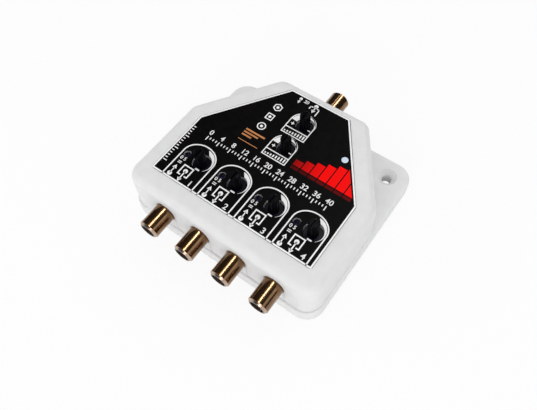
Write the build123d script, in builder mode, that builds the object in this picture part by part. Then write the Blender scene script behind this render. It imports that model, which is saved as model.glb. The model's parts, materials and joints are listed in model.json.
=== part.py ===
from build123d import *
from math import hypot, radians, tan
import os

os.makedirs("parts", exist_ok=True)

# Case: a tray with two screw ears behind a six-sided cover
base_width = 101.0
base_depth = 86.5
base_corner_radius = 8.5
case_height = 28.0
rim_height = 7.5
rim_edge_radius = 0.8
foot_edge_chamfer = 0.6
floor_thickness = 2.2
wall = 2.2
draft_degrees = 2.0
cover_inset = 0.9
taper_start = 5.0
cover_back_width = 47.2
front_corner_radius = 8.0
taper_corner_radius = 7.0
back_corner_radius = 6.5
top_edge_radius = 3.6
lip_clearance = 0.15
lip_thickness = 1.0
lip_height = 1.2
overrun = 1.0

# Screw ears at the two back corners
ear_inset_x = 10.0
ear_inset_y = 9.0
ear_hole_diameter = 4.6
ear_sink_diameter = 9.0
ear_boss_diameter = 10.5
ear_top_thickness = 3.2

# Printed label in its shallow recess, with its margins from the foot of the cover
label_side_margin = 8.5
label_front_margin = 10.5
label_back_margin = 4.7
label_taper_margin = 9.2
label_thickness = 0.3
label_recess = 0.2
label_corner_radius = 0.8
label_clearance = 0.1

# Outputs along the front wall, each with an adjuster and a lamp behind it
output_count = 4
output_pitch = 19.2
output_shift = 1.8
adjuster_shift = 2.4
adjuster_setback = 24.3
lamp_shift = -5.5
band_adjuster_x = 1.1
band_adjuster_gap = 1.05
band_adjuster_pitch = 14.6
band_adjuster_count = 2

# Threaded coaxial connectors
connector_diameter = 9.5
connector_reach = 11.5
connector_drop = 10.5
connector_tip_chamfer = 0.9
connector_bore_diameter = 6.4
connector_shoulder_clearance = 0.1
connector_shoulder_step = 0.3
connector_block_width = 12.0
connector_block_depth = 10.0
connector_block_height = 13.0
connector_block_edge = 0.8
connector_wall_gap = 0.3
connector_hole_clearance = 0.35
connector_leg_diameter = 1.2
connector_leg_pitch = 7.0
insulator_recess = 0.9
insulator_length = 9.0
insulator_clearance = 0.05
contact_diameter = 1.9
contact_bore_diameter = 1.1
contact_bore_depth = 5.0
contact_recess = 0.4
tongue_clearance = 0.15

# Adjusters: a body on the board, and a shaft that turns in it
adjuster_hole_diameter = 8.6
pot_width = 9.8
pot_depth = 10.6
pot_height = 5.5
pot_corner_radius = 1.0
pot_collar_diameter = 8.0
pot_collar_top = 15.9
pot_pin_diameter = 0.9
pot_pin_pitch = 2.5
pot_pin_count = 3
pot_seat_thickness = 1.6
shaft_diameter = 4.8
shaft_reach = 8.0
shaft_clearance = 0.06
shaft_tip_chamfer = 0.35
shaft_slot_width = 0.9
shaft_slot_depth = 1.4
shaft_flute_diameter = 0.7
shaft_flute_length = 7.0
shaft_flute_count = 12

# Lamps beside the output adjusters
lamp_diameter = 3.0
lamp_rise = 0.3
lamp_body_length = 3.7
lamp_tip_flat = 0.1
lamp_flange_diameter = 3.8
lamp_flange_thickness = 0.8
lamp_hole_clearance = 0.3
lamp_leg_width = 0.5
lamp_leg_pitch = 1.8

# Circuit board and what stands on it
board_thickness = 1.6
board_wall_gap = 0.8
board_post_gap = 0.5
pin_clearance = 0.05
solder_reach = 1.8
can_width = 17.0
can_depth = 22.0
can_height = 8.0
can_sheet = 0.5
can_corner_radius = 1.0
can_hole_diameter = 2.0
can_hole_pitch = 4.5
can_hole_columns = 3
can_hole_rows = 4
can_x = -13.5
can_gap = 3.75
chip_size = 7.0
chip_height = 1.6
chip_x = -27.0
chip_gap = 3.65
chip_lead_width = 0.5
chip_lead_pitch = 1.27
chip_lead_reach = 1.1
chip_lead_height = 0.6
chip_lead_count = 5
core_outer_diameter = 6.4
core_bore_diameter = 3.0
core_height = 4.0
core_pitch = 8.0
core_x = 19.5
core_gap = 5.05
core_count = 3
capacitor_diameter = 6.3
capacitor_height = 11.0
capacitor_edge_radius = 0.5
capacitor_groove_drop = 1.5
capacitor_groove_width = 0.6
capacitor_groove_depth = 0.3
capacitor_pitch = 8.5
capacitor_x = 14.5
capacitor_gap = 1.5
capacitor_count = 2
regulator_width = 6.6
regulator_depth = 6.2
regulator_height = 2.3
regulator_tab_depth = 2.6
regulator_tab_thickness = 0.8
regulator_x = 23.5
regulator_gap = 1.5
chip_part_length = 2.0
chip_part_width = 1.2
chip_part_height = 0.7
chip_part_column_pitch = 6.4
chip_part_row_pitch = 2.6
chip_part_columns = 9
chip_part_rows = 2
chip_part_x = 2.0
chip_part_gap = 3.1

# Screws, and the posts that they go into
cover_screw_front_side = 7.6
cover_screw_front_setback = 7.75
cover_screw_back_side = 6.6
cover_screw_back_setback = 7.15
cover_post_diameter = 7.0
cover_boss_height = 3.0
screw_diameter = 2.6
screw_head_diameter = 5.2
screw_head_height = 1.6
screw_head_recess = 2.2
screw_head_clearance = 0.3
screw_clearance = 0.05
screw_drive_diameter = 2.4
screw_drive_depth = 0.8
cover_screw_length = 11.0
board_screw_front_side = 7.6
board_screw_front_gap = 3.75
board_screw_back_side = 7.8
board_screw_back_setback = 21.85
board_screw_length = 6.0
board_post_diameter = 6.0

# Levels and places that follow from the sizes above
cover_half_width = base_width / 2 - cover_inset
cover_back = base_depth / 2 - cover_inset
cover_height = case_height - rim_height
taper_slope = (cover_half_width - cover_back_width / 2) / (cover_back - taper_start)
connector_level = case_height - connector_drop
board_top = connector_level - connector_block_height / 2
board_bottom = board_top - board_thickness
boss_top = floor_thickness + cover_boss_height
outer_face = cover_back - (connector_level - rim_height) * tan(radians(draft_degrees))
block_face = outer_face - wall - connector_wall_gap
block_middle = block_face - connector_block_depth / 2
connector_tip = outer_face + connector_reach
slot_radius = connector_diameter / 2 + connector_hole_clearance
adjuster_y = adjuster_setback - cover_back
behind_outputs = adjuster_y + pot_depth / 2
block_back = block_face - connector_block_depth
last_band_y = block_back - band_adjuster_gap - pot_depth / 2
band_adjuster_y = last_band_y - band_adjuster_pitch * (band_adjuster_count - 1)
shaft_radius = shaft_diameter / 2
shaft_foot = board_top + pot_seat_thickness + shaft_clearance
shaft_top = case_height + shaft_reach
lamp_seat = case_height + lamp_rise - lamp_body_length
ear_x = base_width / 2 - ear_inset_x
ear_y = base_depth / 2 - ear_inset_y
ear_places = [(-ear_x, ear_y), (ear_x, ear_y)]
first_output_x = output_shift - output_pitch * (output_count - 1) / 2
output_xs = [first_output_x + output_pitch * i for i in range(output_count)]
output_places = [(x + adjuster_shift, adjuster_y) for x in output_xs]
band_ys = [band_adjuster_y + band_adjuster_pitch * i for i in range(band_adjuster_count)]
band_places = [(band_adjuster_x, y) for y in band_ys]
adjuster_places = output_places + band_places
lamp_places = [(x + lamp_shift, adjuster_y) for x in output_xs]
connector_places = [(x, -1) for x in output_xs] + [(output_shift, 1)]
cover_screw_front_x = cover_half_width - cover_screw_front_side
cover_screw_front_y = cover_screw_front_setback - cover_back
cover_screw_back_x = cover_back_width / 2 - cover_screw_back_side
cover_screw_back_y = cover_back - cover_screw_back_setback
cover_screw_places = [
    (-cover_screw_front_x, cover_screw_front_y), (cover_screw_front_x, cover_screw_front_y),
    (-cover_screw_back_x, cover_screw_back_y), (cover_screw_back_x, cover_screw_back_y),
]
board_screw_front_x = cover_half_width - board_screw_front_side
board_screw_front_y = behind_outputs + board_screw_front_gap
board_screw_back_y = cover_back - board_screw_back_setback
board_screw_taper = taper_slope * (board_screw_back_y - taper_start)
board_screw_back_x = cover_half_width - board_screw_taper - board_screw_back_side
board_screw_places = [
    (-board_screw_front_x, board_screw_front_y), (board_screw_front_x, board_screw_front_y),
    (-board_screw_back_x, board_screw_back_y), (board_screw_back_x, board_screw_back_y),
]
can_y = behind_outputs + can_gap + can_depth / 2
chip_y = behind_outputs + chip_gap + chip_size / 2 + chip_lead_reach
core_y = behind_outputs + core_gap + core_outer_diameter / 2
behind_cores = core_y + core_outer_diameter / 2
capacitor_y = behind_cores + capacitor_gap + capacitor_diameter / 2
capacitor_places = [(capacitor_x, capacitor_y + capacitor_pitch * i) for i in range(capacitor_count)]
regulator_y = behind_cores + regulator_gap + regulator_depth / 2
chip_part_y = chip_part_gap - block_back


def case_outline(side, front, back, taper, corner_radii, mode=Mode.ADD):
    """Draws the cover's six-sided outline, moved inwards by a margin for each kind of edge."""
    half = cover_half_width - side
    front_y = front - cover_back
    back_y = cover_back - back
    taper_shift = taper * hypot(1, taper_slope)
    middle_y = taper_start + (side - taper_shift) / taper_slope
    back_half = cover_half_width - taper_slope * (back_y - taper_start) - taper_shift
    front_radius, middle_radius, back_radius = corner_radii
    with BuildLine() as outline:
        FilletPolyline(
            (-half, front_y), (half, front_y), (half, middle_y),
            (back_half, back_y), (-back_half, back_y), (-half, middle_y),
            radius=[front_radius, front_radius, middle_radius, back_radius, back_radius, middle_radius],
            close=True,
        )
    make_face(outline.edges(), mode=mode)


def inset_outline(margin, mode=Mode.ADD):
    """Draws the cover's outline at one margin all round, with its corners on the same centres."""
    radii = [front_corner_radius - margin, taper_corner_radius - margin, back_corner_radius - margin]
    case_outline(margin, margin, margin, margin, radii, mode)


def label_outline(spread):
    """Draws the label's outline, moved outwards by a small spread for its recess."""
    case_outline(
        label_side_margin - spread, label_front_margin - spread, label_back_margin - spread,
        label_taper_margin - spread, [label_corner_radius + spread] * 3,
    )


def connector_plane(x, side, y):
    """Gives the plane across a connector's axis that looks out of the front or the back wall."""
    return Plane(origin=(x, side * y, connector_level), x_dir=(-side, 0, 0), z_dir=(0, side, 0))


def slot_shape(half_width):
    """Draws a slot that is round above the connector's axis and open down to the rim."""
    depth = connector_level - rim_height
    Circle(half_width)
    with Locations((0, -depth / 2)):
        Rectangle(2 * half_width, depth)


# Blanks of the cover's outer and inner surfaces, which also shape the tongues of the tray
with BuildPart() as cover_outside:
    with BuildSketch(Plane.XY.offset(rim_height)):
        inset_outline(0)
    extrude(amount=cover_height, taper=draft_degrees)
    fillet(cover_outside.faces().sort_by(Axis.Z)[-1].edges(), top_edge_radius)

with BuildPart() as cover_inside:
    with BuildSketch(Plane.XY.offset(rim_height)):
        inset_outline(wall)
    extrude(amount=cover_height - wall, taper=draft_degrees)
    fillet(cover_inside.faces().sort_by(Axis.Z)[-1].edges(), top_edge_radius - wall)

with BuildPart() as slot_blocks:
    for x, side in connector_places:
        with BuildSketch(connector_plane(x, side, block_face)):
            slot_shape(slot_radius)
        extrude(amount=cover_back - block_face + overrun)

with BuildPart() as tongue_blocks:
    for x, side in connector_places:
        with BuildSketch(connector_plane(x, side, block_face)):
            slot_shape(slot_radius - tongue_clearance)
            Circle(slot_radius, mode=Mode.SUBTRACT)
        extrude(amount=cover_back - block_face + overrun)

with BuildPart() as tongues:
    add(cover_outside.part)
    add(cover_inside.part, mode=Mode.SUBTRACT)
    add(tongue_blocks.part, mode=Mode.INTERSECT)

# Base tray: floor, rim, hollow ears, posts, and tongues that close the slots under the connectors
with BuildPart() as base_tray:
    with BuildSketch():
        RectangleRounded(base_width, base_depth, base_corner_radius)
    extrude(amount=rim_height)
    fillet(base_tray.faces().sort_by(Axis.Z)[-1].edges(), rim_edge_radius)
    chamfer(base_tray.faces().sort_by(Axis.Z)[0].edges(), foot_edge_chamfer)
    with BuildSketch(Plane.XY.offset(rim_height)):
        inset_outline(wall + lip_clearance)
    extrude(amount=lip_height)
    with BuildSketch(Plane.XY.offset(floor_thickness)):
        inset_outline(wall + lip_clearance + lip_thickness)
    extrude(amount=rim_height + lip_height, mode=Mode.SUBTRACT)
    with BuildSketch(Plane.XY.offset(rim_height)):
        for x, side in connector_places:
            with Locations((x, side * cover_back)):
                Rectangle(2 * slot_radius, 2 * (cover_back - block_face))
    extrude(amount=lip_height, mode=Mode.SUBTRACT)
    add(tongues.part)
    with BuildSketch():
        RectangleRounded(base_width - 2 * wall, base_depth - 2 * wall, base_corner_radius - wall)
        inset_outline(lip_clearance + lip_thickness, Mode.SUBTRACT)
        with Locations((0, taper_start)):
            Rectangle(base_width, base_depth, align=(Align.CENTER, Align.MAX), mode=Mode.SUBTRACT)
        with Locations(*ear_places):
            Circle(ear_boss_diameter / 2, mode=Mode.SUBTRACT)
    extrude(amount=rim_height - ear_top_thickness, mode=Mode.SUBTRACT)
    with BuildSketch(Plane.XY.offset(floor_thickness)):
        with Locations(*cover_screw_places):
            Circle(cover_post_diameter / 2)
    extrude(amount=cover_boss_height)
    with BuildSketch(Plane.XY.offset(floor_thickness)):
        with Locations(*board_screw_places):
            Circle(board_post_diameter / 2)
    extrude(amount=board_bottom - floor_thickness)
    with Locations(*[(x, y, rim_height) for x, y in ear_places]):
        CounterSinkHole(ear_hole_diameter / 2, ear_sink_diameter / 2, rim_height)
    with BuildSketch():
        with Locations(*cover_screw_places):
            Circle(screw_diameter / 2 + screw_clearance)
    extrude(amount=boss_top, mode=Mode.SUBTRACT)
    with BuildSketch():
        with Locations(*cover_screw_places):
            Circle(screw_head_diameter / 2 + screw_head_clearance)
    extrude(amount=screw_head_recess, mode=Mode.SUBTRACT)
    with BuildSketch(Plane.XY.offset(board_bottom)):
        with Locations(*board_screw_places):
            Circle(screw_diameter / 2 + screw_clearance)
    extrude(amount=-board_screw_length, mode=Mode.SUBTRACT)
base_tray.part.label = "base_tray"
export_step(base_tray.part, "parts/base_tray.step")

# Top cover: drafted shell with posts, holes for adjusters and lamps, and slots over the connectors
with BuildPart() as top_cover:
    add(cover_outside.part)
    add(cover_inside.part, mode=Mode.SUBTRACT)
    with BuildSketch(Plane.XY.offset(boss_top)):
        with Locations(*cover_screw_places):
            Circle(cover_post_diameter / 2)
    extrude(amount=case_height - wall / 2 - boss_top)
    with BuildSketch(Plane.XY.offset(boss_top)):
        with Locations(*cover_screw_places):
            Circle(screw_diameter / 2 + screw_clearance)
    extrude(amount=cover_screw_length, mode=Mode.SUBTRACT)
    add(slot_blocks.part, mode=Mode.SUBTRACT)
    with BuildSketch(Plane.XY.offset(case_height - label_recess)):
        label_outline(label_clearance)
    extrude(amount=label_recess + overrun, mode=Mode.SUBTRACT)
    with BuildSketch(Plane.XY.offset(case_height)):
        with Locations(*adjuster_places):
            Circle(adjuster_hole_diameter / 2)
        with Locations(*lamp_places):
            Circle(lamp_diameter / 2 + lamp_hole_clearance)
    extrude(amount=-wall - overrun, mode=Mode.SUBTRACT)
top_cover.part.label = "top_cover"
export_step(top_cover.part, "parts/top_cover.step")

# Front label
with BuildPart() as front_label:
    with BuildSketch(Plane.XY.offset(case_height - label_recess)):
        label_outline(0)
        with Locations(*adjuster_places):
            Circle(adjuster_hole_diameter / 2, mode=Mode.SUBTRACT)
        with Locations(*lamp_places):
            Circle(lamp_diameter / 2 + lamp_hole_clearance, mode=Mode.SUBTRACT)
    extrude(amount=label_thickness)
front_label.part.label = "front_label"
export_step(front_label.part, "parts/front_label.step")

# Circuit board with a hole for each pin, leg and screw
pot_pin_offsets = [pot_pin_pitch * (i - (pot_pin_count - 1) / 2) for i in range(pot_pin_count)]
leg_offsets = [-connector_leg_pitch / 2, connector_leg_pitch / 2]
leg_places = [(x + dx, side * block_middle) for x, side in connector_places for dx in leg_offsets]
lamp_leg_offsets = [-lamp_leg_pitch / 2, lamp_leg_pitch / 2]
lamp_leg_places = [(x + dx, y) for x, y in lamp_places for dx in lamp_leg_offsets]
lamp_leg_slot = lamp_leg_width + 2 * pin_clearance
with BuildPart() as circuit_board:
    with BuildSketch(Plane.XY.offset(board_bottom)):
        inset_outline(wall + board_wall_gap)
        with Locations(*cover_screw_places):
            Circle(cover_post_diameter / 2 + board_post_gap, mode=Mode.SUBTRACT)
        with Locations(*board_screw_places):
            Circle(screw_diameter / 2 + screw_clearance, mode=Mode.SUBTRACT)
        with Locations(*leg_places):
            Circle(connector_leg_diameter / 2 + pin_clearance, mode=Mode.SUBTRACT)
        with Locations(*[(x + dx, y) for x, y in adjuster_places for dx in pot_pin_offsets]):
            Circle(pot_pin_diameter / 2 + pin_clearance, mode=Mode.SUBTRACT)
        with Locations(*lamp_leg_places):
            Rectangle(lamp_leg_slot, lamp_leg_slot, mode=Mode.SUBTRACT)
    extrude(amount=board_thickness)
circuit_board.part.label = "circuit_board"
export_step(circuit_board.part, "parts/circuit_board.step")


def build_connector(x, side):
    """Models one connector: block, shoulder, bored barrel and two solder legs."""
    with BuildPart() as connector:
        with BuildSketch(connector_plane(x, side, block_face)):
            Rectangle(connector_block_width, connector_block_height)
            chamfer(vertices(), connector_block_edge)
        extrude(amount=-connector_block_depth)
        with BuildSketch(connector_plane(x, side, block_face)):
            Circle(slot_radius - connector_shoulder_clearance)
        extrude(amount=outer_face + connector_shoulder_step - block_face)
        with BuildSketch(connector_plane(x, side, block_face)):
            Circle(connector_diameter / 2)
        extrude(amount=connector_tip - block_face)
        tip_faces = connector.faces().filter_by(Axis.Y).sort_by(Axis.Y, reverse=side < 0)
        chamfer(tip_faces[-1].edges(), connector_tip_chamfer)
        with BuildSketch(connector_plane(x, side, connector_tip)):
            Circle(connector_bore_diameter / 2)
        extrude(amount=-insulator_recess - insulator_length, mode=Mode.SUBTRACT)
        with BuildSketch(Plane.XY.offset(board_top)):
            with Locations(*[(x + dx, side * block_middle) for dx in leg_offsets]):
                Circle(connector_leg_diameter / 2)
        extrude(amount=-board_thickness - solder_reach)
    return connector


# Connectors: the outputs in a row at the front, the input at the back
for number, (x, side) in enumerate(connector_places[:output_count], 1):
    output_connector = build_connector(x, side)
    output_connector.part.label = f"output_connector_{number}"
    export_step(output_connector.part, f"parts/output_connector_{number}.step")

input_connector = build_connector(*connector_places[-1])
input_connector.part.label = "input_connector"
export_step(input_connector.part, "parts/input_connector.step")

with BuildPart() as connector_insulators:
    for x, side in connector_places:
        with BuildSketch(connector_plane(x, side, connector_tip - insulator_recess)):
            Circle(connector_bore_diameter / 2 - insulator_clearance)
            Circle(contact_diameter / 2 + insulator_clearance, mode=Mode.SUBTRACT)
        extrude(amount=-insulator_length)
connector_insulators.part.label = "connector_insulators"
export_step(connector_insulators.part, "parts/connector_insulators.step")

with BuildPart() as centre_contacts:
    for x, side in connector_places:
        with BuildSketch(connector_plane(x, side, connector_tip - insulator_recess - contact_recess)):
            Circle(contact_diameter / 2)
        extrude(amount=contact_recess - insulator_length)
        with BuildSketch(connector_plane(x, side, connector_tip - insulator_recess - contact_recess)):
            Circle(contact_bore_diameter / 2)
        extrude(amount=-contact_bore_depth, mode=Mode.SUBTRACT)
centre_contacts.part.label = "centre_contacts"
export_step(centre_contacts.part, "parts/centre_contacts.step")


def build_potentiometer(x, y):
    """Models one potentiometer body with its collar, bore and pins."""
    with BuildPart() as potentiometer:
        with BuildSketch(Plane.XY.offset(board_top)):
            with Locations((x, y)):
                RectangleRounded(pot_width, pot_depth, pot_corner_radius)
        extrude(amount=pot_height)
        with BuildSketch(Plane.XY.offset(board_top)):
            with Locations((x, y)):
                Circle(pot_collar_diameter / 2)
        extrude(amount=pot_collar_top)
        with BuildSketch(Plane.XY.offset(board_top + pot_seat_thickness)):
            with Locations((x, y)):
                Circle(shaft_radius + shaft_clearance)
        extrude(amount=pot_collar_top, mode=Mode.SUBTRACT)
        with BuildSketch(Plane.XY.offset(board_top)):
            with Locations(*[(x + dx, y) for dx in pot_pin_offsets]):
                Circle(pot_pin_diameter / 2)
        extrude(amount=-board_thickness - solder_reach)
    return potentiometer


def build_adjuster(x, y):
    """Models one adjuster shaft, fluted for the fingers and slotted for a driver."""
    with BuildPart() as adjuster:
        with BuildSketch(Plane.XY.offset(shaft_foot)):
            with Locations((x, y)):
                Circle(shaft_radius)
        extrude(amount=shaft_top - shaft_foot)
        chamfer(adjuster.faces().sort_by(Axis.Z)[-1].edges(), shaft_tip_chamfer)
        with BuildSketch(Plane.XY.offset(shaft_top)):
            with Locations((x, y)):
                with PolarLocations(shaft_radius, shaft_flute_count):
                    Circle(shaft_flute_diameter / 2)
        extrude(amount=-shaft_flute_length, mode=Mode.SUBTRACT)
        with BuildSketch(Plane.XY.offset(shaft_top)):
            with Locations((x, y)):
                Rectangle(shaft_slot_width, shaft_diameter)
        extrude(amount=-shaft_slot_depth, mode=Mode.SUBTRACT)
    return adjuster


# Potentiometers and shafts: one pair for each output, and two pairs for the bands
adjuster_names = [f"output_{{}}_{i + 1}" for i in range(output_count)]
adjuster_names += [f"band_{{}}_{i + 1}" for i in range(band_adjuster_count)]
for name, (x, y) in zip(adjuster_names, adjuster_places):
    potentiometer = build_potentiometer(x, y)
    potentiometer.part.label = name.format("potentiometer")
    export_step(potentiometer.part, f"parts/{potentiometer.part.label}.step")
    adjuster = build_adjuster(x, y)
    adjuster.part.label = name.format("adjuster")
    export_step(adjuster.part, f"parts/{adjuster.part.label}.step")

# Lamps: domed bodies in the holes of the cover, on long legs from the board
for number, (x, y) in enumerate(lamp_places, 1):
    with BuildPart() as status_lamp:
        with BuildSketch(Plane.XY.offset(lamp_seat)):
            with Locations((x, y)):
                Circle(lamp_diameter / 2)
        extrude(amount=lamp_body_length)
        fillet(status_lamp.faces().sort_by(Axis.Z)[-1].edges(), lamp_diameter / 2 - lamp_tip_flat)
        with BuildSketch(Plane.XY.offset(lamp_seat)):
            with Locations((x, y)):
                Circle(lamp_flange_diameter / 2)
        extrude(amount=-lamp_flange_thickness)
        with BuildSketch(Plane.XY.offset(lamp_seat - lamp_flange_thickness)):
            with Locations((x - lamp_leg_pitch / 2, y), (x + lamp_leg_pitch / 2, y)):
                Rectangle(lamp_leg_width, lamp_leg_width)
        extrude(amount=board_bottom - solder_reach - lamp_seat + lamp_flange_thickness)
    status_lamp.part.label = f"status_lamp_{number}"
    export_step(status_lamp.part, f"parts/status_lamp_{number}.step")

# Shield can: folded sheet box, open below, with tuning holes
with BuildPart() as shield_can:
    with BuildSketch(Plane.XY.offset(board_top)):
        with Locations((can_x, can_y)):
            RectangleRounded(can_width, can_depth, can_corner_radius)
    extrude(amount=can_height)
    with BuildSketch(Plane.XY.offset(board_top)):
        with Locations((can_x, can_y)):
            RectangleRounded(
                can_width - 2 * can_sheet, can_depth - 2 * can_sheet, can_corner_radius - can_sheet
            )
    extrude(amount=can_height - can_sheet, mode=Mode.SUBTRACT)
    with BuildSketch(Plane.XY.offset(board_top + can_height)):
        with Locations((can_x, can_y)):
            with GridLocations(can_hole_pitch, can_hole_pitch, can_hole_columns, can_hole_rows):
                Circle(can_hole_diameter / 2)
    extrude(amount=-can_sheet, mode=Mode.SUBTRACT)
shield_can.part.label = "shield_can"
export_step(shield_can.part, "parts/shield_can.step")

# Amplifier chip with its leads on two sides
with BuildPart() as amplifier_chip:
    with BuildSketch(Plane.XY.offset(board_top)):
        with Locations((chip_x, chip_y)):
            Rectangle(chip_size, chip_size)
    extrude(amount=chip_height)
    with BuildSketch(Plane.XY.offset(board_top)):
        with Locations((chip_x, chip_y)):
            with GridLocations(chip_lead_pitch, 0, chip_lead_count, 1):
                Rectangle(chip_lead_width, chip_size + 2 * chip_lead_reach)
    extrude(amount=chip_lead_height)
amplifier_chip.part.label = "amplifier_chip"
export_step(amplifier_chip.part, "parts/amplifier_chip.step")

# Ferrite cores of the splitter
with BuildPart() as splitter_cores:
    with BuildSketch(Plane.XY.offset(board_top)):
        with Locations((core_x, core_y)):
            with GridLocations(core_pitch, 0, core_count, 1):
                Circle(core_outer_diameter / 2)
                Circle(core_bore_diameter / 2, mode=Mode.SUBTRACT)
    extrude(amount=core_height)
splitter_cores.part.label = "splitter_cores"
export_step(splitter_cores.part, "parts/splitter_cores.step")

# Filter capacitors: sleeved cans with a crimped groove near the foot
with BuildPart() as filter_capacitors:
    with BuildSketch(Plane.XY.offset(board_top)):
        with Locations(*capacitor_places):
            Circle(capacitor_diameter / 2)
    extrude(amount=capacitor_height)
    fillet(filter_capacitors.faces().group_by(Axis.Z)[-1].edges(), capacitor_edge_radius)
    with BuildSketch(Plane.XY.offset(board_top + capacitor_groove_drop)):
        with Locations(*capacitor_places):
            Circle(capacitor_diameter / 2)
            Circle(capacitor_diameter / 2 - capacitor_groove_depth, mode=Mode.SUBTRACT)
    extrude(amount=capacitor_groove_width, mode=Mode.SUBTRACT)
filter_capacitors.part.label = "filter_capacitors"
export_step(filter_capacitors.part, "parts/filter_capacitors.step")

# Voltage regulator with its soldered tab
with BuildPart() as voltage_regulator:
    with BuildSketch(Plane.XY.offset(board_top)):
        with Locations((regulator_x, regulator_y)):
            Rectangle(regulator_width, regulator_depth)
    extrude(amount=regulator_height)
    with BuildSketch(Plane.XY.offset(board_top)):
        with Locations((regulator_x, regulator_y + regulator_depth / 2)):
            Rectangle(regulator_width, regulator_tab_depth, align=(Align.CENTER, Align.MIN))
    extrude(amount=regulator_tab_thickness)
voltage_regulator.part.label = "voltage_regulator"
export_step(voltage_regulator.part, "parts/voltage_regulator.step")

# Resistors and small capacitors soldered flat between the connectors and the adjusters
with BuildPart() as chip_components:
    with BuildSketch(Plane.XY.offset(board_top)):
        with Locations((chip_part_x, chip_part_y)):
            with GridLocations(
                chip_part_column_pitch, chip_part_row_pitch, chip_part_columns, chip_part_rows
            ):
                Rectangle(chip_part_length, chip_part_width)
    extrude(amount=chip_part_height)
chip_components.part.label = "chip_components"
export_step(chip_components.part, "parts/chip_components.step")


def build_screws(places, seat, length, up):
    """Models a set of pan-head screws: heads on the seat level, shanks going up or down."""
    with BuildPart() as screws:
        way = 1 if up else -1
        with BuildSketch(Plane.XY.offset(seat)):
            with Locations(*places):
                Circle(screw_head_diameter / 2)
        extrude(amount=-way * screw_head_height)
        with BuildSketch(Plane.XY.offset(seat)):
            with Locations(*places):
                Circle(screw_diameter / 2)
        extrude(amount=way * length)
        with BuildSketch(Plane.XY.offset(seat - way * screw_head_height)):
            with Locations(*places):
                Circle(screw_drive_diameter / 2)
        extrude(amount=way * screw_drive_depth, mode=Mode.SUBTRACT)
    return screws


# Screws: the cover's go up from below, the board's go down into the tray
cover_screws = build_screws(cover_screw_places, screw_head_recess, cover_screw_length, True)
cover_screws.part.label = "cover_screws"
export_step(cover_screws.part, "parts/cover_screws.step")

board_screws = build_screws(board_screw_places, board_top, board_screw_length, False)
board_screws.part.label = "board_screws"
export_step(board_screws.part, "parts/board_screws.step")
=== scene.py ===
import json
from math import atan2, cos, pi, radians, sin

import bpy
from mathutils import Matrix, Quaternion, Vector

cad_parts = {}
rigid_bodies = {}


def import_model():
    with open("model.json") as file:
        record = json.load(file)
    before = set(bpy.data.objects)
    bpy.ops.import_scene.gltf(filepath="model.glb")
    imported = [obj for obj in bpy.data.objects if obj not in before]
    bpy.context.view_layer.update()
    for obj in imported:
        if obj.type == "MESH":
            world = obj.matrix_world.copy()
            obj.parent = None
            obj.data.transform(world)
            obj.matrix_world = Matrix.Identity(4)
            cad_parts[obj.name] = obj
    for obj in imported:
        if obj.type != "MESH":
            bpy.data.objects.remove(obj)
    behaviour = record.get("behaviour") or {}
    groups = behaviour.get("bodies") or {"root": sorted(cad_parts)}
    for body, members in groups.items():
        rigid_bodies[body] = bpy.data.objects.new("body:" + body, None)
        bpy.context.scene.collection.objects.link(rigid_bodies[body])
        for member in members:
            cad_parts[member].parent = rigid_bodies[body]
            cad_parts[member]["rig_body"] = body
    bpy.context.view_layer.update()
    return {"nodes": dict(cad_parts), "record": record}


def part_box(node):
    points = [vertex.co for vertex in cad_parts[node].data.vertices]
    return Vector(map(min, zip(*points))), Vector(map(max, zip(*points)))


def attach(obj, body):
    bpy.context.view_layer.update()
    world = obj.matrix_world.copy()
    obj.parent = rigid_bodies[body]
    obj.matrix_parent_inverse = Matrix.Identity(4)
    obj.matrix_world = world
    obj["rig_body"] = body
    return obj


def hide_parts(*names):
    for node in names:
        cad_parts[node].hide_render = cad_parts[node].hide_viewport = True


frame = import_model()
nodes = frame["nodes"]
mm = 0.001
print("frame loaded")


# picking and editing

def deselectAll():
    if bpy.context.object and bpy.context.object.mode != "OBJECT":
        bpy.ops.object.mode_set(mode="OBJECT")
    bpy.ops.object.select_all(action="DESELECT")


def makeActive(piece):
    deselectAll()
    piece.select_set(True)
    bpy.context.view_layer.objects.active = piece


def editAllFaces(piece):
    # leaves the piece in edit mode with every face selected
    makeActive(piece)
    bpy.ops.object.mode_set(mode="EDIT")
    bpy.ops.mesh.select_mode(type="FACE")
    bpy.ops.mesh.select_all(action="SELECT")


def finishPiece(piece, name, material, body="case"):
    makeActive(piece)
    bpy.ops.object.transform_apply(location=True, rotation=True, scale=True)
    piece.name = name
    piece.data.name = name
    piece.data.materials.clear()
    piece.data.materials.append(material)
    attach(piece, body)


def joinPieces(pieces):
    deselectAll()
    for piece in pieces:
        piece.select_set(True)
    bpy.context.view_layer.objects.active = pieces[0]
    if len(pieces) > 1:
        bpy.ops.object.join()
    return bpy.context.object


def applyModifier(piece, kind, **values):
    makeActive(piece)
    modifier = piece.modifiers.new(kind.title(), kind)
    for key, value in values.items():
        setattr(modifier, key, value)
    bpy.ops.object.modifier_apply(modifier=modifier.name)


def smoothByAngle(piece, degrees):
    makeActive(piece)
    bpy.ops.object.shade_smooth_by_angle(angle=radians(degrees))


def middleOf(nodeName):
    low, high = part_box(nodeName)
    return (low[0] + high[0]) / 2, (low[1] + high[1]) / 2


# materials

noiseShape = {
    "colorGrain": 0.25, "roughnessGrain": 0.5,  # coarser than the bump's own grain by these shares
    "detail": 4, "bumpDetail": 6, "rampStart": 0.3, "rampEnd": 0.7,
}


def newMaterial(name, color, roughness, **sockets):
    material = bpy.data.materials.new(name)
    material.use_nodes = True
    shader = material.node_tree.nodes["Principled BSDF"]
    shader.inputs["Base Color"].default_value = (*color, 1)
    shader.inputs["Roughness"].default_value = roughness
    for key, value in sockets.items():
        shader.inputs[key].default_value = value
    return material


def addNode(owner, kind, **values):
    # owner is a material or the world
    node = owner.node_tree.nodes.new(kind)
    for key, value in values.items():
        if key in node.inputs:
            node.inputs[key].default_value = value
        else:
            setattr(node, key, value)
    return node


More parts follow.
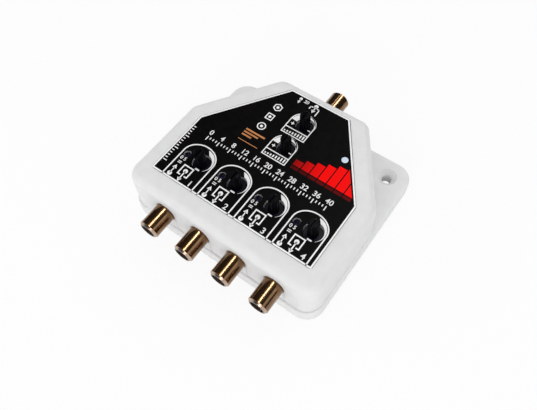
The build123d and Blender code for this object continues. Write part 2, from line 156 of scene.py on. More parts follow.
def link(owner, fromSocket, toSocket):
    owner.node_tree.links.new(fromSocket, toSocket)


def linkToShader(material, fromSocket, socketName):
    link(material, fromSocket, material.node_tree.nodes["Principled BSDF"].inputs[socketName])


def objectNoise(material, scale, detail=noiseShape["detail"]):
    place = addNode(material, "ShaderNodeTexCoord")
    noise = addNode(material, "ShaderNodeTexNoise", Scale=scale, Detail=detail)
    link(material, place.outputs["Object"], noise.inputs["Vector"])
    return noise.outputs["Fac"]


def varyColor(material, share, dark, light, start, end):
    ramp = addNode(material, "ShaderNodeValToRGB")
    first, last = ramp.color_ramp.elements
    first.position, last.position = start, end
    first.color, last.color = (*dark, 1), (*light, 1)
    link(material, share, ramp.inputs["Fac"])
    linkToShader(material, ramp.outputs["Color"], "Base Color")


def varyAlongX(material, start, end, dark, light):
    # colour that runs from dark to light between two places along X
    place = addNode(material, "ShaderNodeTexCoord")
    axes = addNode(material, "ShaderNodeSeparateXYZ")
    share = addNode(material, "ShaderNodeMapRange", **{"From Min": start, "From Max": end})
    link(material, place.outputs["Object"], axes.inputs["Vector"])
    link(material, axes.outputs["X"], share.inputs["Value"])
    varyColor(material, share.outputs["Result"], dark, light, 0, 1)


def varyRoughness(material, share, low, high):
    spread = addNode(material, "ShaderNodeMapRange", **{"To Min": low, "To Max": high})
    link(material, share, spread.inputs["Value"])
    linkToShader(material, spread.outputs["Result"], "Roughness")


def addBump(material, height, strength, distance):
    bump = addNode(material, "ShaderNodeBump", Strength=strength, Distance=distance)
    link(material, height, bump.inputs["Height"])
    linkToShader(material, bump.outputs["Normal"], "Normal")


def noisyMaterial(name, dark, light, roughness, grain, bump, **sockets):
    # grain is the bump's noise scale, and bump gives its strength and depth
    material = newMaterial(name, light, roughness[0], **sockets)
    colorNoise = objectNoise(material, grain * noiseShape["colorGrain"])
    varyColor(material, colorNoise, dark, light, noiseShape["rampStart"], noiseShape["rampEnd"])
    varyRoughness(material, objectNoise(material, grain * noiseShape["roughnessGrain"]), *roughness)
    addBump(material, objectNoise(material, grain, noiseShape["bumpDetail"]), *bump)
    return material


finishes = {
    "whitePlastic": {
        "dark": (0.750, 0.752, 0.755), "light": (0.790, 0.791, 0.792), "roughness": (0.46, 0.60),
        "grain": 900, "bump": (0.12, 0.05 * mm), "Specular IOR Level": 0.30,
        "Subsurface Weight": 0.25, "Subsurface Radius": (0.004, 0.004, 0.0042), "Subsurface Scale": 1.0,
    },
    "labelFilm": {
        "dark": (0.0018, 0.0016, 0.0016), "light": (0.0042, 0.0036, 0.0032), "roughness": (0.42, 0.55),
        "grain": 1400, "bump": (0.10, 0.03 * mm), "Specular IOR Level": 0.03,
    },
    "printWhite": {
        "dark": (0.90, 0.90, 0.90), "light": (0.96, 0.96, 0.96), "roughness": (0.45, 0.58),
        "grain": 1600, "bump": (0.05, 0.02 * mm),
    },
    "printRed": {
        "dark": (0.62, 0.006, 0.004), "light": (0.90, 0.012, 0.008), "roughness": (0.40, 0.52),
        "grain": 700, "bump": (0.05, 0.02 * mm), "Specular IOR Level": 0.03,
    },
    "printDeepRed": {
        "dark": (0.050, 0.001, 0.001), "light": (0.150, 0.002, 0.002), "roughness": (0.40, 0.52),
        "grain": 500, "bump": (0.05, 0.02 * mm), "Specular IOR Level": 0.03,
    },
    "printPaleBlue": {
        "dark": (0.38, 0.50, 0.70), "light": (0.66, 0.76, 0.90), "roughness": (0.40, 0.52),
        "grain": 500, "bump": (0.05, 0.02 * mm),
    },
    "printOrange": {
        "dark": (0.50, 0.16, 0.03), "light": (0.72, 0.27, 0.06), "roughness": (0.40, 0.52),
        "grain": 500, "bump": (0.05, 0.02 * mm),
    },
    "blackPlastic": {
        "dark": (0.0012, 0.0012, 0.0018), "light": (0.0034, 0.0034, 0.0052), "roughness": (0.32, 0.44),
        "grain": 1500, "bump": (0.15, 0.04 * mm), "Specular IOR Level": 0.05,
    },
    "potPlastic": {
        "dark": (0.0026, 0.0024, 0.0080), "light": (0.0065, 0.0060, 0.0180), "roughness": (0.26, 0.40),
        "grain": 1500, "bump": (0.12, 0.04 * mm), "Specular IOR Level": 0.10,
    },
    "lampLens": {
        "dark": (0.010, 0.007, 0.038), "light": (0.022, 0.016, 0.070), "roughness": (0.10, 0.18),
        "grain": 800, "bump": (0.05, 0.02 * mm),
    },
    "connectorMetal": {
        "dark": (0.170, 0.088, 0.036), "light": (0.235, 0.125, 0.052), "roughness": (0.16, 0.22),
        "grain": 600, "bump": (0.02, 0.02 * mm), "Metallic": 1.0, "Coat Weight": 0.5, "Coat Roughness": 0.12,
    },
    # painted reflection: a lighter metal on the socket chamfers stands for the white floor seen in them
    "tipMetal": {
        "dark": (0.42, 0.30, 0.23), "light": (0.60, 0.45, 0.36), "roughness": (0.20, 0.30),
        "grain": 600, "bump": (0.10, 0.02 * mm), "Metallic": 1.0,
    },
    # real insulator plastic, also laid on the sockets' flat tip faces as painted shade
    "insulatorPlastic": {
        "dark": (0.006, 0.005, 0.006), "light": (0.014, 0.012, 0.012), "roughness": (0.06, 0.12),
        "grain": 900, "bump": (0.10, 0.03 * mm),
    },
    "contactMetal": {
        "dark": (0.70, 0.60, 0.42), "light": (0.85, 0.75, 0.55), "roughness": (0.15, 0.25),
        "grain": 900, "bump": (0.10, 0.02 * mm), "Metallic": 1.0,
    },
    "boardLaminate": {
        "dark": (0.010, 0.070, 0.025), "light": (0.020, 0.110, 0.040), "roughness": (0.25, 0.40),
        "grain": 500, "bump": (0.10, 0.03 * mm),
    },
    "tinnedSheet": {
        "dark": (0.55, 0.55, 0.53), "light": (0.70, 0.70, 0.67), "roughness": (0.22, 0.40),
        "grain": 400, "bump": (0.10, 0.03 * mm), "Metallic": 1.0,
    },
    "chipPlastic": {
        "dark": (0.010, 0.010, 0.010), "light": (0.020, 0.020, 0.020), "roughness": (0.45, 0.60),
        "grain": 1600, "bump": (0.20, 0.03 * mm),
    },
    "ferrite": {
        "dark": (0.040, 0.036, 0.034), "light": (0.075, 0.070, 0.066), "roughness": (0.50, 0.70),
        "grain": 1200, "bump": (0.25, 0.05 * mm),
    },
    "capacitorSleeve": {
        "dark": (0.012, 0.014, 0.030), "light": (0.024, 0.028, 0.055), "roughness": (0.20, 0.30),
        "grain": 700, "bump": (0.10, 0.03 * mm),
    },
    "chipCeramic": {
        "dark": (0.22, 0.17, 0.11), "light": (0.34, 0.27, 0.18), "roughness": (0.35, 0.50),
        "grain": 900, "bump": (0.10, 0.03 * mm),
    },
    "screwZinc": {
        "dark": (0.48, 0.48, 0.46), "light": (0.66, 0.66, 0.63), "roughness": (0.22, 0.38),
        "grain": 800, "bump": (0.10, 0.03 * mm), "Metallic": 1.0,
    },
}
paints = {name: noisyMaterial(name, **finish) for name, finish in finishes.items()}
redRun = {"start": 7.0 * mm, "end": 22.0 * mm, "dark": (0.26, 0.001, 0.001), "light": (0.98, 0.001, 0.001)}
varyAlongX(paints["printRed"], **redRun)
print("materials ready")


# CAD pieces dressed as smooth copies

copyCare = {"merge": 0.002 * mm, "flat": 0.3, "smooth": 32, "labelSmooth": 1}  # angles in degrees


def copyNode(nodeName, name):
    # the CAD node is left as it is; its copy gets shared corners and no stored normals
    piece = bpy.data.objects.new(name, nodes[nodeName].data.copy())
    bpy.context.scene.collection.objects.link(piece)
    makeActive(piece)
    bpy.ops.mesh.customdata_custom_splitnormals_clear()
    bpy.ops.object.mode_set(mode="EDIT")
    bpy.ops.mesh.select_all(action="SELECT")
    bpy.ops.mesh.remove_doubles(threshold=copyCare["merge"])
    bpy.ops.mesh.dissolve_limited(angle_limit=radians(copyCare["flat"]))
    bpy.ops.object.mode_set(mode="OBJECT")
    return piece


def dressCopy(piece, nodeName, paint, smooth=copyCare["smooth"]):
    applyModifier(piece, "TRIANGULATE")
    smoothByAngle(piece, smooth)
    finishPiece(piece, piece.name, paints[paint], nodes[nodeName]["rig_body"])
    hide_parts(nodeName)
    return piece


def dressedCopy(nodeName, name, paint, smooth=copyCare["smooth"]):
    return dressCopy(copyNode(nodeName, name), nodeName, paint, smooth)


# sockets: the barrel is cut across at even steps, and every other cut is drawn in as a thread
socket = {
    "pitch": 0.8 * mm, "depth": 0.04 * mm, "first": -0.6 * mm, "last": 1.6 * mm, "outside": 4.6 * mm,
    "atCut": 0.01 * mm, "tip": 1.0 * mm, "facing": 0.95, "smooth": 40,
}


def threadedSocket(nodeName, name):
    piece = copyNode(nodeName, name)
    low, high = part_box(nodeName)
    side = 1 if high[1] > -low[1] else -1
    tip = high[1] if side > 0 else low[1]
    wall = side * max(abs(corner[1]) for corner in nodes["top_cover"].bound_box)
    axisX = middleOf(nodeName)[0]
    axisZ = frame["record"]["mounts"][-1]["pos_m"][2]
    start = wall + side * socket["first"]
    halfPitch = socket["pitch"] / 2
    cuts = int((abs(tip - start) - socket["last"]) / halfPitch)
    places = [start + side * halfPitch * i for i in range(cuts)]
    makeActive(piece)
    bpy.ops.object.mode_set(mode="EDIT")
    for place in places:
        bpy.ops.mesh.select_all(action="SELECT")
        bpy.ops.mesh.bisect(plane_co=(axisX, place, axisZ), plane_no=(0, 1, 0))
    bpy.ops.object.mode_set(mode="OBJECT")
    for place in places[1::2]:
        for vert in piece.data.vertices:
            across = Vector((vert.co.x - axisX, 0, vert.co.z - axisZ))
            if abs(vert.co.y - place) < socket["atCut"] and across.length > socket["outside"]:
                vert.co -= across.normalized() * socket["depth"]
    dressCopy(piece, nodeName, "connectorMetal", socket["smooth"])
    piece.data.materials.append(paints["tipMetal"])
    piece.data.materials.append(paints["insulatorPlastic"])
    # painted light at the tip: the chamfer takes a lighter metal as a painted reflection, and the flat faces
    # take the dark insulator plastic as painted shade
    for polygon in piece.data.polygons:
        if abs(polygon.center[1] - tip) < socket["tip"]:
            polygon.material_index = 2 if abs(polygon.normal.y) > socket["facing"] else 1


# lamps: the middle shows black inside a tinted rim
lens = {"core": 0.95 * mm}


def rimmedLamp(nodeName, name):
    piece = dressedCopy(nodeName, name, "lampLens")
    piece.data.materials.append(paints["blackPlastic"])
    middle = Vector(middleOf(nodeName))
    for polygon in piece.data.polygons:
        if (polygon.center.xy - middle).length < lens["core"]:
            polygon.material_index = 1


dressedCopy("base_tray", "trayShell", "whitePlastic")
dressedCopy("top_cover", "coverShell", "whitePlastic")
dressedCopy("front_label", "labelSheet", "labelFilm", copyCare["labelSmooth"])
for nodeName in sorted(nodes):
    if "_adjuster_" in nodeName:
        dressedCopy(nodeName, nodeName.replace("_adjuster_", "Shaft"), "blackPlastic")
    elif "_potentiometer_" in nodeName:
        dressedCopy(nodeName, nodeName.replace("_potentiometer_", "Pot"), "potPlastic")
    elif nodeName.startswith("status_lamp"):
        rimmedLamp(nodeName, nodeName.replace("status_lamp_", "lamp"))
    elif nodeName.startswith("output_connector") or nodeName == "input_connector":
        threadedSocket(nodeName, nodeName.replace("_connector", "Socket").replace("_", ""))
innerPaints = {
    "connector_insulators": "insulatorPlastic", "centre_contacts": "contactMetal",
    "circuit_board": "boardLaminate", "shield_can": "tinnedSheet", "amplifier_chip": "chipPlastic",
    "voltage_regulator": "chipPlastic", "splitter_cores": "ferrite", "filter_capacitors": "capacitorSleeve",
    "chip_components": "chipCeramic", "cover_screws": "screwZinc", "board_screws": "screwZinc",
}
for nodeName, paint in innerPaints.items():
    nodes[nodeName].data.materials.clear()
    nodes[nodeName].data.materials.append(paints[paint])
print("CAD pieces dressed")


# printed face: flat ink shapes that lie on the label

ink = {
    "height": 0.03 * mm, "merge": 0.0005 * mm, "discCorners": 32, "ringCorners": 40, "curlSteps": 40,
    "archSteps": 36, "dotShare": 0.86, "digitShare": 0.7, "boldShare": 0.028,
}
labelLow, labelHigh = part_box("front_label")
inkLevel = labelHigh[2] + ink["height"] / 2


def inkBar(x0, y0, x1, y1):
    # upright rectangle between two corners
    deselectAll()
    bpy.ops.mesh.primitive_plane_add(size=1, location=((x0 + x1) / 2, (y0 + y1) / 2, inkLevel))
    piece = bpy.context.object
    piece.scale = (abs(x1 - x0), abs(y1 - y0), 1)
    bpy.ops.object.transform_apply(location=True, rotation=True, scale=True)
    return piece


def inkBlock(x, y, halfLong, halfHigh):
    # upright rectangle round its middle
    return inkBar(x - halfLong, y - halfHigh, x + halfLong, y + halfHigh)


def inkPlus(x, y, reach, half):
    return [
        inkBlock(x, y, reach, half),
        inkBar(x - half, y + half, x + half, y + reach),
        inkBar(x - half, y - reach, x + half, y - half),
    ]


def inkDisc(x, y, radius, corners=ink["discCorners"], turn=0.0):
    deselectAll()
    bpy.ops.mesh.primitive_circle_add(
        vertices=corners, radius=radius, fill_type="NGON", location=(x, y, inkLevel), rotation=(0, 0, turn),
    )
    bpy.ops.object.transform_apply(location=True, rotation=True, scale=True)
    return bpy.context.object


def inkRing(x, y, radius, line, corners=ink["ringCorners"], turn=0.0):
    piece = inkDisc(x, y, radius, corners, turn)
    editAllFaces(piece)
    bpy.ops.mesh.inset(thickness=line, depth=0)
    bpy.ops.mesh.delete(type="FACE")
    bpy.ops.object.mode_set(mode="OBJECT")
    return piece


def inkStrip(steps, place):
    # one face across and many along; place() puts each corner by its share of the length and its side
    deselectAll()
    bpy.ops.mesh.primitive_grid_add(
        x_subdivisions=steps, y_subdivisions=1, size=1, location=(0, 0, inkLevel),
    )
    piece = bpy.context.object
    bpy.ops.object.transform_apply(location=True, rotation=True, scale=True)
    for vert in piece.data.vertices:
        vert.co.x, vert.co.y = place(vert.co.x + 0.5, vert.co.y > 0)
    return piece


def inkCurl(x, y, curl):
    # a strip curled round a shaft, whose outer edge comes in as it goes
    thinning = curl["outerStart"] - curl["outerEnd"]

    def place(share, isOuter):
        start = curl["start"] + (curl["slant"] if isOuter else 0)
        angle = radians(start + (curl["end"] - start) * share)
        reach = curl["outerEnd"] + thinning * (1 - share) ** curl["fade"] if isOuter else curl["inner"]
        return x + reach * cos(angle), y + reach * sin(angle)
    return inkStrip(ink["curlSteps"], place)


def inkArch(x, foot, archY, half, rise, line):
    # a line that goes up, over a flattened half circle and down again
    steps = ink["archSteps"]

    def place(share, isOuter):
        inset = 0 if isOuter else line
        index = round(share * steps)
        if index in (0, steps):
            return x + (half - inset) * (-1 if index == 0 else 1), foot
        angle = pi * (1 - (index - 1) / (steps - 2))
        return x + (half - inset) * cos(angle), archY + (rise - inset) * sin(angle)
    return inkStrip(steps, place)


def inkArrow(x, tail, tip, line, head):
    # a stem with a dot at its tail and a three-cornered head
    up = 1 if tip > tail else -1
    return [
        inkDisc(x, tail, head * ink["dotShare"]),
        inkBar(x - line / 2, tail, x + line / 2, tip - up * head),
        inkDisc(x, tip - up * head, head, 3, 0 if up > 0 else pi),
    ]


def inkBracket(x, y, half, line, gap):
    # a square outline with a gap in the middle of its lower side
    return [
        inkBar(x - half, y - half, x - half + line, y + half),
        inkBar(x + half - line, y - half, x + half, y + half),
        inkBar(x - half + line, y + half, x + half - line, y + half - line),
        inkBar(x - half + line, y - half, x - gap, y - half + line),
        inkBar(x + gap, y - half, x + half - line, y - half + line),
    ]


def inkNumber(text, x, y, height):
    deselectAll()
    bpy.ops.object.text_add(location=(x, y, inkLevel))
    piece = bpy.context.object
    piece.data.body = text
    piece.data.size = height / ink["digitShare"]
    piece.data.align_x = "CENTER"
    piece.data.align_y = "CENTER"
    piece.data.offset = height * ink["boldShare"]
    bpy.ops.object.convert(target="MESH")
    bpy.ops.object.transform_apply(location=True, rotation=True, scale=True)
    return bpy.context.object


def finishInk(pieces, name, paint):
    piece = joinPieces(pieces)
    editAllFaces(piece)
    bpy.ops.mesh.remove_doubles(threshold=ink["merge"])
    bpy.ops.mesh.normals_make_consistent(inside=False)
    bpy.ops.object.mode_set(mode="OBJECT")
    if sum(polygon.normal.z for polygon in piece.data.polygons) < 0:
        piece.data.flip_normals()
    applyModifier(piece, "SOLIDIFY", thickness=ink["height"], offset=0)
    finishPiece(piece, name, paints[paint])


# one frame for each output's shaft: "up" is from the frame's foot and "x" from its middle
outputPrint = {
    "edgeGap": 0.1 * mm,
    "arch": {
        "half": 8.4 * mm, "rise": 6.9 * mm, "line": 0.6 * mm, "aboveShaft": 1.05 * mm, "fromShaft": 2.6 * mm,
    },
    "curl": {
        "inner": 4.5 * mm, "outerStart": 6.75 * mm, "outerEnd": 4.6 * mm, "fade": 1.6,
        "start": 82, "slant": 18, "end": -50,
    },
    "dash": {"fromShaft": (0.7 * mm, -3.9 * mm), "halfLong": 1.05 * mm, "halfHigh": 0.35 * mm},
    "arrow": {"x": -5.5 * mm, "tail": 1.9 * mm, "tip": 6.9 * mm, "line": 0.45 * mm, "head": 1.25 * mm},
    "bracket": {"x": -0.2 * mm, "up": 6.3 * mm, "half": 2.75 * mm, "gap": 1.05 * mm, "stemTip": 0.5 * mm},
    "digit": {"x": 5.3 * mm, "up": 2.45 * mm, "height": 2.7 * mm},
    "mark": {"text": "0 5", "x": -5.4 * mm, "belowShaft": 2.75 * mm, "height": 1.7 * mm},
    "markLines": {"count": 2, "step": 0.75 * mm, "drop": 1.75 * mm, "high": 0.35 * mm, "half": 0.9 * mm},
}


def printOutput(nodeName):
    arch, dash, arrow, bracket = (outputPrint[key] for key in ("arch", "dash", "arrow", "bracket"))
    digit, mark, markLines = (outputPrint[key] for key in ("digit", "mark", "markLines"))
    number = nodeName[-1]
    shaftX, shaftY = middleOf(nodeName)
    x = shaftX - arch["fromShaft"]
    foot = labelLow[1] + outputPrint["edgeGap"]
    dashX, dashY = shaftX + dash["fromShaft"][0], shaftY + dash["fromShaft"][1]
    parts = [
        inkArch(x, foot, shaftY + arch["aboveShaft"], arch["half"], arch["rise"], arch["line"]),
        inkCurl(shaftX, shaftY, outputPrint["curl"]),
        inkBlock(dashX, dashY, dash["halfLong"], dash["halfHigh"]),
    ]
    arrowX = x + arrow["x"]
    parts += inkArrow(arrowX, foot + arrow["tail"], foot + arrow["tip"], arrow["line"], arrow["head"])
    bracketX, bracketY = x + bracket["x"], foot + bracket["up"]
    parts += inkBracket(bracketX, bracketY, bracket["half"], arch["line"], bracket["gap"])
    parts += inkArrow(bracketX, bracketY, foot + bracket["stemTip"], arch["line"], arrow["head"])
    parts.append(inkNumber(number, x + digit["x"], foot + digit["up"], digit["height"]))
    markY = shaftY - mark["belowShaft"]
    parts.append(inkNumber(mark["text"], x + mark["x"], markY, mark["height"]))
    left, right = arrowX - markLines["half"], arrowX + markLines["half"]
    for i in range(markLines["count"]):
        top = markY - markLines["drop"] - markLines["step"] * i
        parts.append(inkBar(left, top - markLines["high"], right, top))
    finishInk(parts, "outputPrint" + number, "printWhite")


# one frame for each upper shaft, with rising ticks in a box at its foot
bandPrint = {
    "arch": {
        "half": 6.15 * mm, "rise": 6.1 * mm, "line": 0.5 * mm, "aboveShaft": 0.2 * mm, "fromShaft": 1.7 * mm,
    },
    "box": {"belowShaft": 7.85 * mm, "high": 3.9 * mm},
    "curl": {
        "inner": 4.5 * mm, "outerStart": 7.3 * mm, "outerEnd": 4.6 * mm, "fade": 1.0,
        "start": 176, "slant": 0, "end": 8,
    },
    "ticks": {
        "count": 8, "step": 1.35 * mm, "half": 0.32 * mm, "up": 0.95 * mm,
        "first": 0.7 * mm, "rise": 0.2 * mm,
    },
    "plus": {"fromShaft": (-5.5 * mm, -1.6 * mm), "reach": 0.85 * mm, "half": 0.22 * mm},
    "minus": {"fromShaft": (2.9 * mm, -1.25 * mm), "reach": 0.7 * mm, "half": 0.25 * mm},
}


def printBand(nodeName):
    arch, box, ticks = bandPrint["arch"], bandPrint["box"], bandPrint["ticks"]
    plus, minus = bandPrint["plus"], bandPrint["minus"]
    shaftX, shaftY = middleOf(nodeName)
    x = shaftX - arch["fromShaft"]
    foot = shaftY - box["belowShaft"]
    left, right, line = x - arch["half"] + arch["line"], x + arch["half"] - arch["line"], arch["line"]
    parts = [
        inkArch(x, foot, shaftY + arch["aboveShaft"], arch["half"], arch["rise"], line),
        inkBar(left, foot, right, foot + line),
        inkBar(left, foot + box["high"] - line, right, foot + box["high"]),
        inkCurl(shaftX, shaftY, bandPrint["curl"]),
    ]
    for i in range(ticks["count"]):
        tickX = x + (i - (ticks["count"] - 1) / 2) * ticks["step"]
        tickY = foot + ticks["up"]
        tickTop = tickY + ticks["first"] + ticks["rise"] * i
        parts.append(inkBar(tickX - ticks["half"], tickY, tickX + ticks["half"], tickTop))
    plusX, plusY = shaftX + plus["fromShaft"][0], shaftY + plus["fromShaft"][1]
    parts += inkPlus(plusX, plusY, plus["reach"], plus["half"])
    minusX, minusY = shaftX + minus["fromShaft"][0], shaftY + minus["fromShaft"][1]
    parts.append(inkBlock(minusX, minusY, minus["reach"], minus["half"]))
    finishInk(parts, "bandPrint" + nodeName[-1], "printWhite")


# the input's sign at the back edge, with a small arrow and number beside it
inputPrint = {
    "x": -0.8 * mm, "y": 32.0 * mm, "half": 2.5 * mm, "line": 0.5 * mm, "gap": 1.0 * mm,
    "rightFoot": 1.7 * mm, "leftFoot": 0.6 * mm,
    "arrowTail": 3.3 * mm, "arrowTip": 0.9 * mm, "arrowHead": 1.15 * mm,
    "sideArrow": {"x": -9.2 * mm, "tail": 35.3 * mm, "tip": 32.4 * mm, "line": 0.45 * mm, "head": 0.9 * mm},
    "number": {"text": "20", "x": -5.9 * mm, "y": 35.0 * mm, "height": 1.7 * mm},
}


def printInput():
    x, y, line, gap = (inputPrint[key] for key in ("x", "y", "line", "gap"))
    left, right, top = x - inputPrint["half"], x + inputPrint["half"], y + inputPrint["half"]
    parts = [
        inkBar(right - line, y - inputPrint["rightFoot"], right, top),
        inkBar(left, y + inputPrint["leftFoot"], left + line, top),
        inkBar(left, top - line, x - gap, top),
        inkBar(x + gap, top - line, right, top),
    ]
    tail, tip = y + inputPrint["arrowTail"], y - inputPrint["arrowTip"]
    parts += inkArrow(x, tail, tip, line, inputPrint["arrowHead"])
    parts += inkArrow(**inputPrint["sideArrow"])
    parts.append(inkNumber(**inputPrint["number"]))
    finishInk(parts, "inputPrint", "printWhite")


outputShafts = [nodeName for nodeName in sorted(nodes) if nodeName.startswith("output_adjuster_")]
bandShafts = [nodeName for nodeName in sorted(nodes) if nodeName.startswith("band_adjuster_")]
for nodeName in outputShafts:
    printOutput(nodeName)
for nodeName in bandShafts:
    printBand(nodeName)
printInput()
print("adjuster print done")

# white border round the label: its own six corners, joined and inset
border = {"line": 0.7 * mm, "edge": 0.05 * mm, "ways": [(1, 0.35), (0.35, 1), (-0.35, 1), (-1, 0.35)]}


def labelCorners():
    # the four back corners are the points farthest out in four directions, and the box gives the front ones
    points = [vert.co.copy() for vert in nodes["front_label"].data.vertices]
    found = [max(points, key=lambda point: point.x * way[0] + point.y * way[1]) for way in border["ways"]]
    return found + [Vector((labelLow[0], labelLow[1], 0)), Vector((labelHigh[0], labelLow[1], 0))]


def aroundMiddle(point):
    return atan2(point.y, point.x)


def printBorder(corners):
    deselectAll()
    bpy.ops.mesh.primitive_circle_add(
        vertices=len(corners), radius=1, fill_type="NGON", location=(0, 0, inkLevel),
    )
    piece = bpy.context.object
    bpy.ops.object.transform_apply(location=True, rotation=True, scale=True)
    verts = sorted(piece.data.vertices, key=lambda vert: aroundMiddle(vert.co))
    for vert, corner in zip(verts, corners):
        vert.co.x, vert.co.y = corner.x, corner.y
    editAllFaces(piece)
    bpy.ops.mesh.inset(thickness=border["edge"], depth=0)
    bpy.ops.mesh.select_all(action="INVERT")
    bpy.ops.mesh.delete(type="FACE")
    editAllFaces(piece)
    bpy.ops.mesh.inset(thickness=border["line"], depth=0)
    bpy.ops.mesh.delete(type="FACE")
    bpy.ops.object.mode_set(mode="OBJECT")
    finishInk([piece], "labelBorder", "printWhite")


corners = sorted(labelCorners(), key=aroundMiddle)
printBorder(corners)

# plain scale across the middle: a row of numbers over a row of ticks
scale = {
    "numbers": 10, "step": 4, "ticksEach": 4, "reach": 31.0 * mm, "y": -3.2 * mm, "height": 2.5 * mm,
    "tickTop": -5.4 * mm, "tickHalf": 0.22 * mm, "longTick": 2.3 * mm, "shortTick": 1.2 * mm,
}
tickCount = scale["ticksEach"] * scale["numbers"]
parts = []
for i in range(scale["numbers"] + 1):
    numberX = scale["reach"] * (2 * i / scale["numbers"] - 1)
    parts.append(inkNumber(str(scale["step"] * i), numberX, scale["y"], scale["height"]))
for i in range(tickCount + 1):
    tickX = scale["reach"] * (2 * i / tickCount - 1)
    tickFoot = scale["tickTop"] - scale["longTick" if i % scale["ticksEach"] == 0 else "shortTick"]
    parts.append(inkBar(tickX - scale["tickHalf"], tickFoot, tickX + scale["tickHalf"], scale["tickTop"]))
finishInk(parts, "scalePrint", "printWhite")

# short ticks up the left edge
sideTicks = {
    "x": -39.9 * mm, "first": -26.0 * mm, "step": 1.5 * mm, "count": 15, "high": 0.45 * mm,
    "longEach": 5, "longTick": 2.0 * mm, "shortTick": 1.2 * mm,
}
parts = []
for i in range(sideTicks["count"]):
    tickY = sideTicks["first"] + sideTicks["step"] * i
    tickEnd = sideTicks["x"] + sideTicks["longTick" if i % sideTicks["longEach"] == 0 else "shortTick"]
    parts.append(inkBar(sideTicks["x"], tickY, tickEnd, tickY + sideTicks["high"]))
finishInk(parts, "sideTicks", "printWhite")

# small plain shapes in a column, each with a dot in it
shapeColumn = {
    "x": -15.0 * mm, "line": 0.5 * mm, "dot": 0.7 * mm,
    "shapes": [
        {"y": 12.4 * mm, "radius": 2.1 * mm, "corners": 40, "turn": 0},
        {"y": 18.8 * mm, "radius": 2.6 * mm, "corners": 4, "turn": pi / 4},
        {"y": 25.1 * mm, "radius": 2.3 * mm, "corners": 6, "turn": 0},
    ],
}
parts = []
for shape in shapeColumn["shapes"]:
    parts.append(inkRing(shapeColumn["x"], line=shapeColumn["line"], **shape))
    parts.append(inkDisc(shapeColumn["x"], shape["y"], shapeColumn["dot"]))
finishInk(parts, "shapePrint", "printWhite")

# orange bars of growing length, and a fine line below them
orangeBars = {
    "x": -19.8 * mm, "y": 3.9 * mm, "count": 3, "step": 1.6 * mm, "high": 0.85 * mm, "long": 5.0 * mm,
    "more": 2.6 * mm, "lineY": 1.3 * mm, "lineHigh": 0.3 * mm, "lineEnd": -9.4 * mm,
}
lineTop = orangeBars["lineY"] + orangeBars["lineHigh"]
parts = [inkBar(orangeBars["x"], orangeBars["lineY"], orangeBars["lineEnd"], lineTop)]
for i in range(orangeBars["count"]):
    barY = orangeBars["y"] + orangeBars["step"] * i
    barEnd = orangeBars["x"] + orangeBars["long"] + orangeBars["more"] * i
    parts.append(inkBar(orangeBars["x"], barY, barEnd, barY + orangeBars["high"]))
finishInk(parts, "orangeBars", "printOrange")

# red bars that rise to the right, cut off along the label's slanted edge, and a plain pale disc above them
redBars = {
    "count": 7, "x": 8.0 * mm, "step": 4.3 * mm, "wide": 3.8 * mm, "y": 3.6 * mm, "first": 3.0 * mm,
    "rise": 1.9 * mm, "edgeGap": 1.5 * mm, "lowY": 1.6 * mm, "lowHigh": 1.4 * mm,
}
paleDisc = {"x": 25.2 * mm, "y": 18.0 * mm, "radius": 1.5 * mm}
rightCorners = [corner for corner in corners if corner.x > 0 and corner.y > 0]
slantLow, slantHigh = sorted(rightCorners, key=lambda corner: corner.y)
slantWay = (slantHigh - slantLow).normalized()
slantOut = Vector((slantWay.y, -slantWay.x, 0))


def cutAlongEdge(piece):
    makeActive(piece)
    bpy.ops.object.mode_set(mode="EDIT")
    bpy.ops.mesh.select_all(action="SELECT")
    cutPlace = slantLow - slantOut * redBars["edgeGap"]
    bpy.ops.mesh.bisect(plane_co=cutPlace, plane_no=slantOut, clear_outer=True)
    bpy.ops.object.mode_set(mode="OBJECT")
    return piece


tallBars, lowBars = [], []
lowTop = redBars["lowY"] + redBars["lowHigh"]
for i in range(redBars["count"]):
    barX = redBars["x"] + redBars["step"] * i
    barEnd = barX + redBars["wide"]
    barTop = redBars["y"] + redBars["first"] + redBars["rise"] * i
    tallBars.append(cutAlongEdge(inkBar(barX, redBars["y"], barEnd, barTop)))
    lowBars.append(cutAlongEdge(inkBar(barX, redBars["lowY"], barEnd, lowTop)))
finishInk(tallBars, "redBars", "printRed")
finishInk(lowBars, "deepRedBars", "printDeepRed")
finishInk([inkDisc(**paleDisc)], "paleDisc", "printPaleBlue")
print("label print done")


# floor, light and camera

floor = {"size": 6, "drop": 0.2 * mm, "color": (0.93, 0.93, 0.93), "roughness": 0.8, "glow": 0.85}


def finishStage(piece, name, material):
    piece.name = name
    piece.data.materials.clear()
    piece.data.materials.append(material)


def floorPaper():
    # the camera, mirrors and clear parts see it nearly white; the rest is paper that holds the shadow
    material = newMaterial("floorPaper", floor["color"], floor["roughness"])
    glow = addNode(material, "ShaderNodeEmission", Strength=1.0, Color=(1, 1, 1, 1))
    rays = addNode(material, "ShaderNodeLightPath")
    seen = rays.outputs["Is Camera Ray"]
    for rayName in ("Is Glossy Ray", "Is Transmission Ray"):
        either = addNode(material, "ShaderNodeMath", operation="MAXIMUM")
        link(material, seen, either.inputs[0])
        link(material, rays.outputs[rayName], either.inputs[1])
        seen = either.outputs[0]
    share = addNode(material, "ShaderNodeMath", operation="MULTIPLY")
    share.inputs[1].default_value = floor["glow"]
    blend = addNode(material, "ShaderNodeMixShader")
    tree = material.node_tree.nodes
    link(material, seen, share.inputs[0])
    link(material, share.outputs[0], blend.inputs[0])
    link(material, tree["Principled BSDF"].outputs[0], blend.inputs[1])
    link(material, glow.outputs[0], blend.inputs[2])
    link(material, blend.outputs[0], tree["Material Output"].inputs["Surface"])
    return material


deselectAll()
bpy.ops.mesh.primitive_plane_add(size=floor["size"], location=(0, 0, -floor["drop"]))
finishStage(bpy.context.object, "floorPlane", floorPaper())

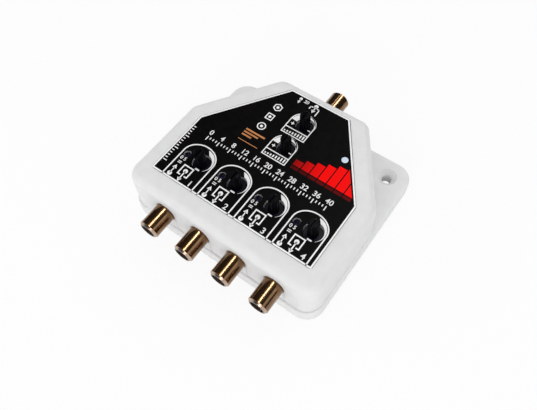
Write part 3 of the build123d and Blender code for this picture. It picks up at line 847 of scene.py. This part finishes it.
sky = {"strength": 0.88, "low": (0.80, 0.80, 0.81, 1), "high": (1.0, 1.0, 1.0, 1), "inMetal": 0.06}
world = bpy.data.worlds.new("studio")
bpy.context.scene.world = world
world.use_nodes = True
background = world.node_tree.nodes["Background"]
background.inputs["Strength"].default_value = sky["strength"]
skyPlace = addNode(world, "ShaderNodeTexCoord")
skyAxes = addNode(world, "ShaderNodeSeparateXYZ")
skyRamp = addNode(world, "ShaderNodeValToRGB")
skyRamp.color_ramp.elements[0].color = sky["low"]
skyRamp.color_ramp.elements[1].color = sky["high"]
skyRays = addNode(world, "ShaderNodeLightPath")
# dark screens round the object keep its metal deep
skyGlossy = addNode(world, "ShaderNodeMapRange", **{"To Min": 1.0, "To Max": sky["inMetal"]})
skyShade = addNode(world, "ShaderNodeVectorMath", operation="SCALE")
# the camera sees plain white above the floor's far edge
skyWhite = addNode(world, "ShaderNodeBackground", Color=(1, 1, 1, 1))
skyBlend = addNode(world, "ShaderNodeMixShader")
link(world, skyPlace.outputs["Generated"], skyAxes.inputs["Vector"])
link(world, skyAxes.outputs["Z"], skyRamp.inputs["Fac"])
link(world, skyRays.outputs["Is Glossy Ray"], skyGlossy.inputs["Value"])
link(world, skyRamp.outputs["Color"], skyShade.inputs[0])
link(world, skyGlossy.outputs["Result"], skyShade.inputs["Scale"])
link(world, skyShade.outputs["Vector"], background.inputs["Color"])
link(world, skyRays.outputs["Is Camera Ray"], skyBlend.inputs[0])
link(world, background.outputs[0], skyBlend.inputs[1])
link(world, skyWhite.outputs[0], skyBlend.inputs[2])
link(world, skyBlend.outputs[0], world.node_tree.nodes["World Output"].inputs["Surface"])

# the two strips make the bright lines on the metal and leave the plastic's level alone
lights = {
    "stripLamp": {"place": (0.09, 0.32, 0.75), "size": (0.07, 0.70), "power": 4.2, "isGlint": True},
    "thinStripLamp": {"place": (-0.10, 0.32, 0.75), "size": (0.03, 0.70), "power": 0.7, "isGlint": True},
    "leftLamp": {"place": (-0.65, -0.30, 0.45), "size": (0.30, 0.30), "power": 0.5, "isGlint": False},
    "rightLamp": {"place": (0.65, 0.15, 0.40), "size": (0.30, 0.30), "power": 0.35, "isGlint": False},
    "frontLamp": {"place": (0.20, -0.75, 0.25), "size": (0.30, 0.30), "power": 1.5, "isGlint": False},
}
for name, settings in lights.items():
    deselectAll()
    bpy.ops.object.light_add(type="AREA", location=settings["place"])
    light = bpy.context.object
    light.name = name
    light.data.shape = "RECTANGLE"
    light.data.size, light.data.size_y = settings["size"]
    light.data.energy = settings["power"]
    light.visible_diffuse = not settings["isGlint"]
    light.rotation_euler = (-Vector(settings["place"])).to_track_quat("-Z", "Y").to_euler()

camera = {
    "place": Vector((0.0770, -0.0978, 0.2136)), "target": Vector((0.00274, -0.00807, 0.00387)),
    "roll": -0.071, "focalPixels": 518.9, "imageWidth": 537, "sensor": 36.0, "clipStart": 10 * mm,
}
bpy.ops.object.camera_add(location=camera["place"])
cameraObject = bpy.context.object
aim = (camera["target"] - camera["place"]).to_track_quat("-Z", "Y")
cameraObject.rotation_euler = (aim @ Quaternion((0, 0, 1), camera["roll"])).to_euler()
cameraObject.data.sensor_width = camera["sensor"]
cameraObject.data.lens = camera["sensor"] * camera["focalPixels"] / camera["imageWidth"]
cameraObject.data.clip_start = camera["clipStart"]
bpy.context.scene.camera = cameraObject
bpy.context.scene.view_settings.view_transform = "Standard"
print("stage ready")
